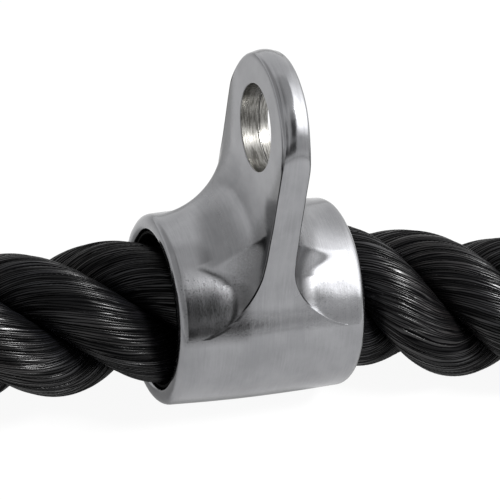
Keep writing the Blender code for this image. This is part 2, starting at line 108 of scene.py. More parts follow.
# Casting, what only the looks have. Heights are above the bore's axis.
BARE_FLANK_SHARE = 0.94
LEAST_RISE = 0.002 * MM
TOP_EDGE_ROUND = 1.3 * MM
SOFT_EDGE_SPAN = (50.0 * MM, 60.0 * MM)
BAND_CROWN = 0.12 * MM
TOP_CROWN = 0.5 * MM
CROWN_SPAN = (9.0 * MM, 24.0 * MM)
SEAM_WIDTH = 0.55 * MM
SEAM_DEPTH = 0.2 * MM
SEAM_RISE = (0.1 * MM, 1.0 * MM)
# Darkening along the ridge: the seam marks give the seam line its near-black, and the corner mark
# gives a painted dark reflection over the flank rows next to the ridge, in place of the rope and
# floor they reflect.
SEAM_DARKENING_MARKS = (1.0, 1.0, 1.0, 1.0, 0.9, 0.7, 0.4)
CORNER_REFLECTION_MARK = 0.34
CORNER_STEPS = 24
HOLE_EDGE_ROUND = 0.3 * MM
FLASH_PLACE = 0.84 * MM
FLASH_HEIGHT = 0.16 * MM
FLASH_HALF_WIDTH = 0.18 * MM
HOLE_SIDES = 128
CUTTER_REACH = 4.0 * MM
MERGE_DISTANCE = 0.001 * MM
WAVE_LENGTH = 9.0 * MM
WAVE_HEIGHT = 0.05 * MM
OUTLINE_STEPS = {"lower": 56, "ridge": 28, "shoulder": 34, "side": 18, "top": 44}
SECTION_STEPS = {"inner": 4, "outer": 8, "flank": 38, "edge": 6, "band": 8}

# Rope ends, in the CAD source's sizes
SOCKET_RADIUS = 18.0 * MM
SOCKET_DEPTH = 30.0 * MM
STOPPER_NECK_RADIUS = 21.0 * MM
STOPPER_RADIUS = 26.5 * MM
STOPPER_FACE_RADIUS = 17.0 * MM
STOPPER_LENGTH = 46.0 * MM
STOPPER_WAIST = SOCKET_DEPTH / 3
STOPPER_WIDEST = STOPPER_LENGTH * 2 / 3
MOUTH_ROUND = 1.2 * MM
FACE_ROUND = 0.5 * MM
PLUG_SEAT = 43.0 * MM
PLUG_SEAT_RADIUS = 13.9 * MM
RECESS_RADIUS = 13.0 * MM
WEB_FACE = 34.7 * MM
SCREW_HOLE_RADIUS = 4.5 * MM
STOPPER_SIDES = 240
FLARE_STEPS = 18
DOME_STEPS = 16
MOULD_LINE = 0.16 * MM
END_GAP = 0.3 * MM
BAND_LENGTH = 24.0 * MM
BAND_RADIUS = 18.45 * MM
BAND_WALL = 0.9 * MM
BAND_HOLLOW = 1.1 * MM
BAND_HOLLOW_SHARPNESS = 1.4
BAND_LIP = [(0.0, -0.5), (0.0, 0.0), (0.15, 0.35), (0.5, 0.5), (1.2, 0.5)]
BAND_RINGS = 21
BAND_RING_MARGIN = 2.0
BAND_SIDES = 144
WRINKLE_HEIGHT = 0.05 * MM
WRINKLE_LENGTH = 0.9 * MM

# Plate. A span is where a change starts and where it is complete: along X from mid-length, or up
# from the floor. The recess is the hollow on each side of the eye's foot, and the sweep is where
# the eye's face curves into the barrel.
RECESS_INNER = (5.0 * MM, 8.0 * MM)
RECESS_OUTER = (23.5 * MM, 21.5 * MM)
RECESS_BOTTOM = (29.0 * MM, 32.0 * MM)
RECESS_TOP = (44.5 * MM, 41.5 * MM)
RECESS_GRAIN = 0.012 * MM
PITTED_SIDE = (4.0 * MM, -4.0 * MM)
# Painted reflection: the lower part of the left recess is painted darker, in place of the dark
# room and rope it reflects.
PAINTED_REFLECTION_TOP = (42.5 * MM, 37.0 * MM)
PAINTED_REFLECTION_SIDE = (0.0, -6.0 * MM)
SWEEP_INNER = (3.6 * MM, 4.6 * MM)
SWEEP_OUTER = (15.0 * MM, 9.0 * MM)
SWEEP_BOTTOM = (35.0 * MM, 40.0 * MM)
SWEEP_TOP = (58.0 * MM, 50.0 * MM)
HOLE_WALL = (EYE_HOLE_RADIUS + 0.2 * MM, EYE_HOLE_RADIUS + 0.05 * MM)
FLASH_SHADOW_PLACE = FLASH_PLACE + 0.3 * MM
FLASH_SHADOW_SPAN = (0.16 * MM, 0.08 * MM)
PLATE = ((0.262, 0.264, 0.275), (0.326, 0.328, 0.34))
SCRATCHED_PLATE = ((0.3, 0.295, 0.28), (0.13, 0.126, 0.116))
# Colour of the painted dark reflection in the left recess
PAINTED_DARK_REFLECTION = (0.09, 0.09, 0.092)
PIT = (0.03, 0.03, 0.031)
# Colour of the painted dark reflection by the ridge's corner
PAINTED_CORNER_REFLECTION = (0.1, 0.1, 0.102)
FLASH_SHADOW = (0.02, 0.02, 0.021)
# Near-black colour along the ridge's seam line
SEAM_LINE_DARK = (0.012, 0.012, 0.013)

# Black parts: darkest and lightest shade, roughness, grains in a metre, grain's depth, gloss
MOULDED_PARTS = {
    # Bore sleeve: black nylon, made darker still and nearly glossless, so that it also serves as
    # painted shade inside the barrel's mouth.
    "black_nylon": (0.002, 0.004, 0.6, 900.0, 0.01 * MM, 0.06),
    "shrink_band": (0.006, 0.01, 0.2, 500.0, 0.02 * MM, 0.45),
    "black_rubber": (0.009, 0.014, 0.46, 1400.0, 0.03 * MM, 0.4),
    "plug_plastic": (0.007, 0.011, 0.34, 2200.0, 0.015 * MM, 0.4),
}

# Rope's fibres
FIBRES = 5.0
FIBRE_RELIEF = 0.14 * MM
LEAN_RELIEF = 0.3 * MM
GAP_RELIEF = 0.2 * MM

# Stage. The surround's edges are parts of a direction (along X, or up), or turns from +X in
# radians. A lamp is its name, turn and height in degrees, distance, size and power.
FLOOR_HALF_SIZE = 3.0
FLOOR_DROP = 0.05 * MM
FLOOR_WHITE = 0.93
FLOOR_MIRRORED = 0.6
FLOOR_MIRRORED_LEVEL = 0.5
AMBIENT = 0.3
SOFTBOX_LEVEL = 2.2
SOFTBOX_LEFT = (0.34, 0.40)
SOFTBOX_RIGHT = (math.radians(55), math.radians(-15))
SOFTBOX_LOW = (0.42, 0.62)
SOFTBOX_LOW_TILT = 0.6
SOFTBOX_HIGH = (0.94, 0.89)
CEILING = 0.24
CEILING_LOW = (0.86, 0.95)
LEFT_WALL = 0.42
LEFT_WALL_SPAN = (-0.05, -0.4)
LEFT_WALL_LOW = (0.0, 0.45)
FRONT_WALL = 0.25
FRONT_WALL_HIGH = (0.42, 0.30)
ROOM_SHADE = 0.60
ROOM_CORE = 0.32
ROOM_LEFT = (-0.25, 0.02)
ROOM_RIGHT = (0.325, 0.27)
ROOM_LOW = (-0.02, 0.12)
ROOM_HIGH = (0.95, 0.78)
ROOM_CORE_HIGH = (0.78, 0.70)
ROOM_STRIP = 0.24
ROOM_STRIP_LOW = (0.29, 0.33)
ROOM_STRIP_HIGH = (0.43, 0.39)
LAMPS = [("key", -32, 49, 0.9, 0.24, 14.5)]

# Places worked out from the casting's sizes, with heights above the bore's axis
SHOULDER_REACH = EYE_HALF_WIDTH + SHOULDER_FILLET
SHOULDER_HEIGHT = math.sqrt((BARREL_RADIUS + SHOULDER_FILLET) ** 2 - SHOULDER_REACH**2)
SHOULDER_ANGLE = math.atan2(SHOULDER_HEIGHT, SHOULDER_REACH)
RIDGE_LOW_ANGLE = SHOULDER_ANGLE * RIDGE_LOW_SHARE
RIDGE_LOW_HEIGHT = BARREL_RADIUS * math.sin(RIDGE_LOW_ANGLE)
RIDGE_TOP_HEIGHT = SHOULDER_HEIGHT + RIDGE_TOP_RISE
RIM_ROUND = min(OUTER_RIM_ROUND, BARREL_RADIUS - BORE_RADIUS - FLANK_RELIEF - INNER_RIM_ROUND)

# The rope's route on each side, point for point as in the CAD source
RIGHT_ROUTE = [
    (0, 0, 0), (9, 0, 0), (15, 0, 0), (24, -0.4, -0.45), (34, -1.6, -2.1), (46, -3.7, -3.9),
    (58, -5.9, -5.1), (72, -8.3, -5.7), (92, -11.5, -5.9), (120, -15.7, -5.9), (155, -20.7, -5.9),
    (188, -24.9, -5.6), (214, -27.6, -3.8), (238, -29.2, -0.8), (258, -29.9, 1.8), (276, -30, 2.7),
    (290, -30, 2.7), (303, -30, 2.7),
]
LEFT_ROUTE = [
    (0, 0, 0), (-12, 0, 0), (-24, 0, -0.05), (-40, 0, -0.4), (-60, 0.3, -1.2), (-84, 1.8, -2.6),
    (-112, 5.2, -4.3), (-142, 10.5, -5.5), (-172, 16.8, -5.85), (-200, 22.5, -5),
    (-226, 26.9, -2.6), (-250, 29.5, 0.6), (-276, 30, 2.7), (-290, 30, 2.7), (-303, 30, 2.7),
]


# Camera

def place_camera():
    """The photograph's viewpoint: the bore's centre falls on its pixel, at its tilt."""
    forward = Vector((math.sin(CAMERA_TURN) * math.cos(CAMERA_HEIGHT),
                      math.cos(CAMERA_TURN) * math.cos(CAMERA_HEIGHT), -math.sin(CAMERA_HEIGHT)))
    level = Vector((math.cos(CAMERA_TURN), -math.sin(CAMERA_TURN), 0.0))
    above = level.cross(forward)
    right = math.cos(CAMERA_ROLL) * level + math.sin(CAMERA_ROLL) * above
    up = math.cos(CAMERA_ROLL) * above - math.sin(CAMERA_ROLL) * level
    focal = PHOTO_PIXELS * LENS_MM / SENSOR_MM
    across = PHOTO_PIXELS / 2 - BORE_CENTRE_PIXEL[0]
    down = PHOTO_PIXELS / 2 - BORE_CENTRE_PIXEL[1]
    aim = (forward * focal + right * across - up * down).normalized()
    right = (right - aim * right.dot(aim)).normalized()
    up = right.cross(aim)
    data = bpy.data.cameras.new("photo_camera")
    data.lens = LENS_MM
    data.sensor_width = SENSOR_MM
    camera = bpy.data.objects.new("photo_camera", data)
    turned = Matrix((right, up, -aim)).transposed().to_4x4()
    turned.translation = Vector((0.0, 0.0, AXIS_HEIGHT)) - CAMERA_DISTANCE * forward
    camera.matrix_world = turned
    bpy.context.collection.objects.link(camera)
    bpy.context.scene.camera = camera


# Meshes

def add_piece(name, mesh):
    """Links a finished mesh whose place is in its vertices."""
    piece = bpy.data.objects.new(name, mesh)
    bpy.context.collection.objects.link(piece)
    return piece


def sheet_grid(columns, rows):
    """A flat grid, and its (u, v) from 0 to 1 for each vertex as an array."""
    bm = bmesh.new()
    bmesh.ops.create_grid(bm, x_segments=columns, y_segments=rows, size=0.5)
    mesh = bpy.data.meshes.new("grid")
    bm.to_mesh(mesh)
    bm.free()
    spots = np.zeros(len(mesh.vertices) * 3)
    mesh.vertices.foreach_get("co", spots)
    return mesh, spots.reshape(-1, 3)[:, :2] + 0.5


def write_uv(mesh, uv):
    """Gives the mesh a UV map from one (u, v) for each vertex."""
    layer = mesh.uv_layers.new(name="fibre")
    corners = np.zeros(len(mesh.loops), dtype=int)
    mesh.loops.foreach_get("vertex_index", corners)
    layer.data.foreach_set("uv", uv[corners].astype(np.float32).ravel())


def joined_shell(name, parts):
    """Joins meshes into one, merges their meeting edges, closes open ends and faces it outward."""
    bm = bmesh.new()
    for part in parts:
        bm.from_mesh(part)
        bpy.data.meshes.remove(part)
    bmesh.ops.remove_doubles(bm, verts=bm.verts, dist=MERGE_DISTANCE)
    rims = [edge for edge in bm.edges if edge.is_boundary]
    if rims:
        bmesh.ops.holes_fill(bm, edges=rims, sides=0)
    bmesh.ops.recalc_face_normals(bm, faces=bm.faces)
    mesh = bpy.data.meshes.new(name)
    bm.to_mesh(mesh)
    bm.free()
    mesh.shade_smooth()
    return mesh


# Rope

def smooth_curve(points, per_span=24):
    """Dense points on a Catmull-Rom curve through the route's points, as in the CAD source."""
    ends = [points[0] * 2 - points[1]] + points + [points[-1] * 2 - points[-2]]
    dense = []
    for a, b, c, d in zip(ends, ends[1:], ends[2:], ends[3:]):
        for step in range(per_span):
            t = step / per_span
            dense.append((b * 2 + (c - a) * t + (a * 2 - b * 5 + c * 4 - d) * t**2
                          + (b * 3 - a - c * 3 + d) * t**3) / 2)
    return dense + [points[-1]]


def route_curve(route):
    """One side's centreline from the middle of the barrel to the stopper's mouth, as an array."""
    points = [Vector((x * MM, y * MM, z * MM + AXIS_HEIGHT)) for x, y, z in route]
    return np.array(smooth_curve(points))


def lengths_along(curve):
    steps = np.linalg.norm(np.diff(curve, axis=0), axis=1)
    return np.concatenate([[0.0], np.cumsum(steps)])


def unit(vectors):
    return vectors / np.linalg.norm(vectors, axis=1, keepdims=True)


def yarn_phase(angle, along):
    """Which yarn lies at a place on a strand, as a running number: whole numbers are the gaps."""
    phase = YARNS * (angle / math.tau + along / YARN_LAY)
    slow = np.sin(along / YARN_WANDER_LENGTH + 2.1 * np.sin(phase * 0.37))
    return phase + YARN_WANDER * (slow + np.sin(phase * 0.83 + 1.3))


def strand_mesh(curve, sign, number):
    """One strand of one side, swept along its helix, with yarns standing proud of the gaps."""
    mesh, uv = sheet_grid(STRAND_STEPS_ALONG, STRAND_STEPS_AROUND)
    reach = lengths_along(curve)
    along = uv[:, 0] * reach[-1]
    spot = np.stack([np.interp(along, reach, curve[:, axis]) for axis in range(3)], axis=1)
    tangents = unit(np.gradient(curve, reach, axis=0)) * sign
    ahead = np.stack([np.interp(along, reach, tangents[:, axis]) for axis in range(3)], axis=1)
    ahead = unit(ahead)
    side = unit(np.cross(np.array([0.0, 0.0, 1.0]), ahead))
    up = np.cross(ahead, side)
    turn = math.tau / LAY_LENGTH
    helix = LAY_PHASE + math.tau * number / STRANDS + turn * sign * along
    out = side * np.cos(helix)[:, None] + up * np.sin(helix)[:, None]
    round_rope = up * np.cos(helix)[:, None] - side * np.sin(helix)[:, None]
    helix_radius = ROPE_RADIUS - STRAND_RADIUS
    run = unit(ahead + round_rope * turn * helix_radius)
    across = np.cross(run, out)
    spread = uv[:, 1] * 2 - 1
    angle = math.pi * (STRAND_INNER_SHARE * spread + (1 - STRAND_INNER_SHARE) * spread**3)
    strand_length = along * sign * math.hypot(1.0, turn * helix_radius)
    phase = yarn_phase(angle, strand_length)
    swell = np.abs(np.sin(math.pi * phase)) ** YARN_ROUNDNESS
    radius = STRAND_RADIUS + YARN_RELIEF * (swell - YARN_RELIEF_MIDDLE)
    place = (spot + out * (helix_radius + radius * np.cos(angle))[:, None]
             + across * (radius * np.sin(angle))[:, None])
    mesh.vertices.foreach_set("co", place.ravel())
    write_uv(mesh, np.stack([strand_length / FIBRE_UNIT, phase], axis=1))
    return mesh


def build_rope(side, route, sign):
    """One side of the rope: three strands that bend between the barrel and the free limb."""
    curve = route_curve(route)
    strands = [strand_mesh(curve, sign, number) for number in range(STRANDS)]
    rope = add_piece(f"rope_{side}", joined_shell(f"rope_{side}", strands))
    rope.data.materials.append(FINISHES["black_rope"])
    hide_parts(f"rope_bend_{side}", f"rope_limb_{side}")
    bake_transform(rope)
    length = float(lengths_along(curve)[-1])
    ends = [build_stopper(side, sign), build_band(side, sign, length), f"end_plug_{side}"]
    return rope


# Casting

def arc(centre, radius, start, end, steps):
    """Points on an arc, both ends included, with angles in radians."""
    angles = [start + (end - start) * step / steps for step in range(steps + 1)]
    return [(centre[0] + radius * math.cos(a), centre[1] + radius * math.sin(a)) for a in angles]


def smooth_step(value, low, high):
    """0 below low, 1 above high, and a smooth change between them."""
    share = min(1.0, max(0.0, (value - low) / (high - low)))
    return share * share * (3.0 - 2.0 * share)


def eye_outline():
    """Half of the casting's outline across the bore, from the bottom to the top of the eye.

    Each of its points is (y, height above the axis)."""
    steps = OUTLINE_STEPS
    points = arc((0, 0), BARREL_RADIUS, -math.pi / 2, RIDGE_LOW_ANGLE, steps["lower"])
    for step in range(1, steps["ridge"] + 1):
        share = (step / steps["ridge"]) ** 1.5
        angle = RIDGE_LOW_ANGLE + (SHOULDER_ANGLE - RIDGE_LOW_ANGLE) * share
        points.append((BARREL_RADIUS * math.cos(angle), BARREL_RADIUS * math.sin(angle)))
    points += arc((SHOULDER_REACH, SHOULDER_HEIGHT), SHOULDER_FILLET, math.pi + SHOULDER_ANGLE,
                  math.pi, steps["shoulder"])[1:]
    for step in range(1, steps["side"]):
        height = SHOULDER_HEIGHT + (EYE_ARC_HEIGHT - SHOULDER_HEIGHT) * step / steps["side"]
        points.append((EYE_HALF_WIDTH, height))
    points += arc((0, EYE_ARC_HEIGHT), EYE_HALF_WIDTH, 0, math.pi / 2, steps["top"])
    return points


def end_taper(x):
    """How much thinner the casting gets towards its ends, as the draft of a mould leaves it."""
    return END_TAPER * (abs(x) / BARREL_HALF_LENGTH) ** 1.5


def ridge_reach(height):
    """How far from mid-length the crisp ridge runs at a height above the axis."""
    top = EYE_HALF_THICKNESS + RIDGE_TOP_STEP
    share = (RIDGE_TOP_HEIGHT - height) / (RIDGE_TOP_HEIGHT - RIDGE_LOW_HEIGHT)
    share = min(1.0, max(0.0, share))
    return BARREL_HALF_LENGTH - (BARREL_HALF_LENGTH - top) * math.sqrt(1.0 - share * share)


def fillet_through(run, rise):
    """Radius of the fillet, tangent to barrel and eye face, that passes run out and rise up."""
    return run + rise + math.sqrt(max(0.0, 2 * run * rise))


def flank_radius(rise, height, angle):
    """Radius of the sweep from the barrel to the eye's face at one angle round the bore."""
    if height <= RIDGE_TOP_HEIGHT:
        return fillet_through(ridge_reach(height) - EYE_HALF_THICKNESS, rise)
    top_rise = math.hypot(EYE_HALF_WIDTH, RIDGE_TOP_HEIGHT) - BARREL_RADIUS + FLANK_RELIEF
    side = fillet_through(RIDGE_TOP_STEP, top_rise)
    low = math.atan2(RIDGE_TOP_HEIGHT, EYE_HALF_WIDTH)
    return side + (FLANK_TOP_RADIUS - side) * smooth_step(angle, low, low + FLANK_TOP_SPAN)


def flank_path(rim, rise, radius):
    """Points of the sweep, as (along X, rise), from the rim to a rise on the eye's face."""
    out = rim - EYE_HALF_THICKNESS
    start = math.asin(max(0.0, 1.0 - out / radius))
    end = max(start, math.acos(max(0.0, 1.0 - rise / radius)))
    lengths = (max(0.0, out - radius), radius * (end - start), max(0.0, rise - radius))
    points = []
    for step in range(SECTION_STEPS["flank"] + 1):
        walked = sum(lengths) * step / SECTION_STEPS["flank"]
        straight = min(walked, lengths[0])
        turning = min(walked - straight, lengths[1])
        climb = min(walked - straight - turning, lengths[2])
        angle = start + turning / radius
        points.append((EYE_HALF_THICKNESS + radius * (1 - math.sin(angle)) + lengths[0] - straight,
                       radius * (1 - math.cos(angle)) + climb))
    return points


def flank_rise(x, radius):
    """How high the sweep stands over the barrel at a place along X, below the eye's face."""
    run = x - EYE_HALF_THICKNESS
    return radius - math.sqrt(max(0.0, radius**2 - max(0.0, radius - run) ** 2))


def seam_points(flank, strength):
    """Two points before a flank's end that press a fine groove along the ridge."""
    (x, r), (end_x, end_r) = flank[-2:]
    length = max(math.hypot(end_x - x, end_r - r), 0.01 * MM)
    ahead_x, ahead_r = (end_x - x) / length, (end_r - r) / length
    width = min(SEAM_WIDTH, 0.7 * length)
    depth = SEAM_DEPTH * strength
    start = (end_x - ahead_x * width, end_r - ahead_r * width)
    low = (end_x - ahead_x * width / 2 - ahead_r * depth,
           end_r - ahead_r * width / 2 + ahead_x * depth)
    return [start, low]


def casting_section(point):
    """Closed section at one outline point: half from bore to mid-length, then its mirror image.

    Each of its points is (x, distance from the axis, mark for the dark seam line and the painted
    dark reflection by the ridge's corner)."""
    steps = SECTION_STEPS
    outline_radius = math.hypot(*point)
    height = point[1]
    angle = math.atan2(height, abs(point[0]))
    fade = smooth_step(height, RIDGE_LOW_HEIGHT, RIDGE_LOW_HEIGHT + RELIEF_FADE)
    root = BARREL_RADIUS - FLANK_RELIEF * fade
    rim = BARREL_HALF_LENGTH - RIM_ROUND
    on_top = smooth_step(height, *SOFT_EDGE_SPAN)
    crown = (BAND_CROWN + (TOP_CROWN - BAND_CROWN) * on_top) * smooth_step(height, *CROWN_SPAN)
    side_radius = outline_radius - crown
    edge = RIDGE_EDGE_ROUND + (TOP_EDGE_ROUND - RIDGE_EDGE_ROUND) * on_top
    edge = min(edge, max(0.0, 0.5 * (side_radius - root)))
    last = rim * BARE_FLANK_SHARE
    flank = [(rim + (last - rim) * step / steps["flank"], outline_radius)
             for step in range(steps["flank"] + 1)]
    seam = 0.0
    rise = side_radius - root - edge
    if rise > LEAST_RISE:
        radius = flank_radius(rise, height, angle)
        if flank_rise(rim - edge, radius) < rise:
            flank = [(x, root + up) for x, up in flank_path(rim, rise, radius)]
            seam = smooth_step(rise, *SEAM_RISE) * (1.0 - on_top)
    flank[-1:] = seam_points(flank, seam) + flank[-1:]
    end_x, end_r = flank[-1]
    if end_r < outline_radius:
        edge_points = arc((end_x - edge, side_radius - edge), edge, 0, math.pi / 2, steps["edge"])
    else:
        edge_points = [(end_x - edge * step / steps["edge"], outline_radius)
                       for step in range(steps["edge"] + 1)]
    band_start = end_x - edge
    band = []
    for step in range(1, steps["band"]):
        share = 1 - step / steps["band"]
        band.append((band_start * share, outline_radius - crown * share**2))
    rim_x, rim_r = flank[0]
    outer = arc((rim_x, rim_r - RIM_ROUND), RIM_ROUND, 0, math.pi / 2, steps["outer"])[:-1]
    inner_x = BARREL_HALF_LENGTH - INNER_RIM_ROUND
    inner = arc((inner_x, BORE_RADIUS + INNER_RIM_ROUND), INNER_RIM_ROUND, -math.pi / 2, 0,
                steps["inner"])
    skin = [(x, r - end_taper(x)) for x, r in outer + flank + edge_points[1:] + band]
    darkening_marks = [0.0] * len(inner + skin)
    ridge = len(inner + outer + flank) - 1
    # Marks for the painted dark reflection over the rows by the ridge's corner, and for the dark
    # seam line
    for back in range(CORNER_STEPS):
        darkening_marks[ridge - back] = seam * CORNER_REFLECTION_MARK * (1 - (back / CORNER_STEPS) ** 2)
    for step, mark in enumerate(SEAM_DARKENING_MARKS):
        darkening_marks[ridge - 1 + step] = seam * mark
    half = [(x, r, mark) for (x, r), mark in zip(inner + skin, darkening_marks)]
    return half + [(0.0, outline_radius, 0.0)] + [(-x, r, mark) for x, r, mark in reversed(half)]


def casting_skin():
    """The casting without its eye's hole: a grid bent round the bore, one column a section."""
    half = eye_outline()
    outline = half + [(-y, z) for y, z in reversed(half[1:-1])]
    sections = [casting_section(point) for point in outline]
    columns, rows = len(outline), len(sections[0])
    mesh, uv = sheet_grid(columns, rows)
    column = np.rint(uv[:, 0] * columns).astype(int) % columns
    row = np.rint(uv[:, 1] * rows).astype(int) % rows
    section = np.array(sections)[column, row]
    ray = np.array(outline)
    ray = (ray / np.linalg.norm(ray, axis=1, keepdims=True))[column]
    place = np.stack([section[:, 0], section[:, 1] * ray[:, 0],
                      section[:, 1] * ray[:, 1] + AXIS_HEIGHT], axis=1)
    mesh.vertices.foreach_set("co", place.ravel())
    # The seam attribute marks where the plate is painted darker: the seam line, and a painted dark
    # reflection by the ridge's corner.
    mesh.attributes.new("seam", "FLOAT", "POINT").data.foreach_set("value", section[:, 2])
    return joined_shell("eye_casting", [mesh])


def cast_waves(mesh):
    """Sways the outside by a few hundredths of a millimetre, as cast and buffed metal is."""
    spots = [vertex.co.copy() for vertex in mesh.vertices]
    normals = [vertex.normal.copy() for vertex in mesh.vertices]
    for vertex, spot, normal in zip(mesh.vertices, spots, normals):
        if math.hypot(spot.y, spot.z - AXIS_HEIGHT) > BORE_RADIUS + INNER_RIM_ROUND:
            sway = noise.noise(spot / WAVE_LENGTH) + 0.4 * noise.noise(spot / WAVE_LENGTH * 2.3)
            vertex.co = spot + normal * sway * WAVE_HEIGHT


def hole_cutter():
    """What the eye's hole takes away: rounded edges, and the flash line where the cores met."""
    face, radius, edge = EYE_HALF_THICKNESS, EYE_HOLE_RADIUS, HOLE_EDGE_ROUND
    rounding = arc((-face + edge, radius + edge), edge, math.pi, math.pi * 1.5, 4)
    profile = [(-face - CUTTER_REACH, 0.0), (-face - CUTTER_REACH, radius + edge), *rounding,
               (FLASH_PLACE - FLASH_HALF_WIDTH, radius), (FLASH_PLACE, radius - FLASH_HEIGHT),
               (FLASH_PLACE + FLASH_HALF_WIDTH, radius - FLASH_HEIGHT * 0.4)]
    profile += [(-x, r) for x, r in reversed(rounding)]
    profile += [(face + CUTTER_REACH, radius + edge), (face + CUTTER_REACH, 0.0)]
    bm = bmesh.new()
    verts = [bm.verts.new((x, 0.0, r)) for x, r in profile]
    edges = [bm.edges.new(pair) for pair in zip(verts, verts[1:])]
    bmesh.ops.spin(bm, geom=verts + edges, cent=(0, 0, 0), axis=(1, 0, 0), angle=math.tau,
                   steps=HOLE_SIDES, use_merge=True)
    bmesh.ops.remove_doubles(bm, verts=bm.verts, dist=MERGE_DISTANCE)
    bmesh.ops.recalc_face_normals(bm, faces=bm.faces)
    bmesh.ops.translate(bm, verts=bm.verts, vec=(0.0, 0.0, AXIS_HEIGHT + EYE_HOLE_HEIGHT))
    mesh = bpy.data.meshes.new("hole_cutter")
    bm.to_mesh(mesh)
    bm.free()
    mesh.shade_smooth()
    return mesh


def carve(piece, cutter_mesh):
    """Cuts the cutter out of the piece for good, so no cutter stays in the scene."""
    cutter = bpy.data.objects.new("cutter", cutter_mesh)
    bpy.context.collection.objects.link(cutter)
    cut = piece.modifiers.new("cut", "BOOLEAN")
    cut.operation = "DIFFERENCE"
    cut.solver = "MANIFOLD"
    cut.object = cutter
    bpy.context.view_layer.update()
    carved = bpy.data.meshes.new_from_object(
        piece.evaluated_get(bpy.context.evaluated_depsgraph_get()))
    piece.modifiers.clear()
    piece.data = carved
    bpy.data.objects.remove(cutter, do_unlink=True)


def build_casting():
    mesh = casting_skin()
    cast_waves(mesh)
    casting = add_piece("cast_eye", mesh)
    carve(casting, hole_cutter())
    casting.data.set_sharp_from_angle(angle=math.radians(45))
    shading = casting.modifiers.new("even_shading", "WEIGHTED_NORMAL")
    shading.keep_sharp = True
    casting.data.materials.clear()
    casting.data.materials.append(FINISHES["nickel_plate"])
    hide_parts("eye_casting")
    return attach(casting, "casting")


# Rope ends

def end_place(sign):
    """Matrix from an end piece's own frame, along X from the stopper's mouth, to its place."""
    mouth = Vector(RIGHT_ROUTE[-1] if sign > 0 else LEFT_ROUTE[-1])
    turn = Matrix.Rotation(0.0 if sign > 0 else math.pi, 4, "Z")
    return Matrix.Translation(mouth * MM + Vector((0.0, 0.0, AXIS_HEIGHT))) @ turn


def stopper_profile():
    """Closed section of the rubber stopper, as (along X, radius), with the CAD source's sizes."""
    flare = STOPPER_RADIUS - STOPPER_NECK_RADIUS
    dome = STOPPER_RADIUS - STOPPER_FACE_RADIUS
    outer = arc((MOUTH_ROUND, STOPPER_NECK_RADIUS - MOUTH_ROUND), MOUTH_ROUND, math.pi,
                math.pi / 2, 6)
    for step in range(1, FLARE_STEPS + 1):
        share = step / FLARE_STEPS
        outer.append((STOPPER_WAIST + (STOPPER_WIDEST - STOPPER_WAIST) * share,
                      STOPPER_NECK_RADIUS + flare * smooth_step(share, 0.0, 1.0)))
    for step in range(1, DOME_STEPS + 1):
        angle = math.pi / 2 * step / DOME_STEPS
        outer.append((STOPPER_WIDEST + (STOPPER_LENGTH - STOPPER_WIDEST) * math.sin(angle),
                      STOPPER_FACE_RADIUS + dome * math.cos(angle)))
    lip = arc((STOPPER_LENGTH - FACE_ROUND, PLUG_SEAT_RADIUS + FACE_ROUND), FACE_ROUND, 0,
              -math.pi / 2, 4)
    return outer + lip + [(PLUG_SEAT, PLUG_SEAT_RADIUS), (PLUG_SEAT, RECESS_RADIUS),
                          (WEB_FACE, RECESS_RADIUS), (WEB_FACE, SCREW_HOLE_RADIUS),
                          (SOCKET_DEPTH, SCREW_HOLE_RADIUS), (SOCKET_DEPTH, SOCKET_RADIUS),
                          (0.0, SOCKET_RADIUS)]


def build_stopper(side, sign):
    """The rubber knob, with the fine flash line that its two-part mould leaves."""
    bm = bmesh.new()
    profile = stopper_profile()
    verts = [bm.verts.new((x, r, 0.0)) for x, r in profile]
    edges = [bm.edges.new(pair) for pair in zip(verts, verts[1:] + verts[:1])]
    bmesh.ops.spin(bm, geom=verts + edges, cent=(0, 0, 0), axis=(1, 0, 0), angle=math.tau,
                   steps=STOPPER_SIDES, use_merge=True)
    bmesh.ops.remove_doubles(bm, verts=bm.verts, dist=MERGE_DISTANCE)
    bmesh.ops.recalc_face_normals(bm, faces=bm.faces)
    for vert in bm.verts:
        radius = math.hypot(vert.co.y, vert.co.z)
        if abs(vert.co.z) < 0.05 * MM and radius > STOPPER_FACE_RADIUS + 0.5 * MM:
            vert.co.y *= 1 + MOULD_LINE / radius
    bmesh.ops.transform(bm, matrix=end_place(sign), verts=bm.verts)
    mesh = bpy.data.meshes.new(f"stopper_{side}")
    bm.to_mesh(mesh)
    bm.free()
    mesh.shade_smooth()
    mesh.set_sharp_from_angle(angle=math.radians(40))
    mesh.materials.append(FINISHES["black_rubber"])
    stopper = add_piece(f"rubber_stopper_{side}", mesh)
    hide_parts(f"end_stopper_{side}")
    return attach(stopper, f"limb_{side}")


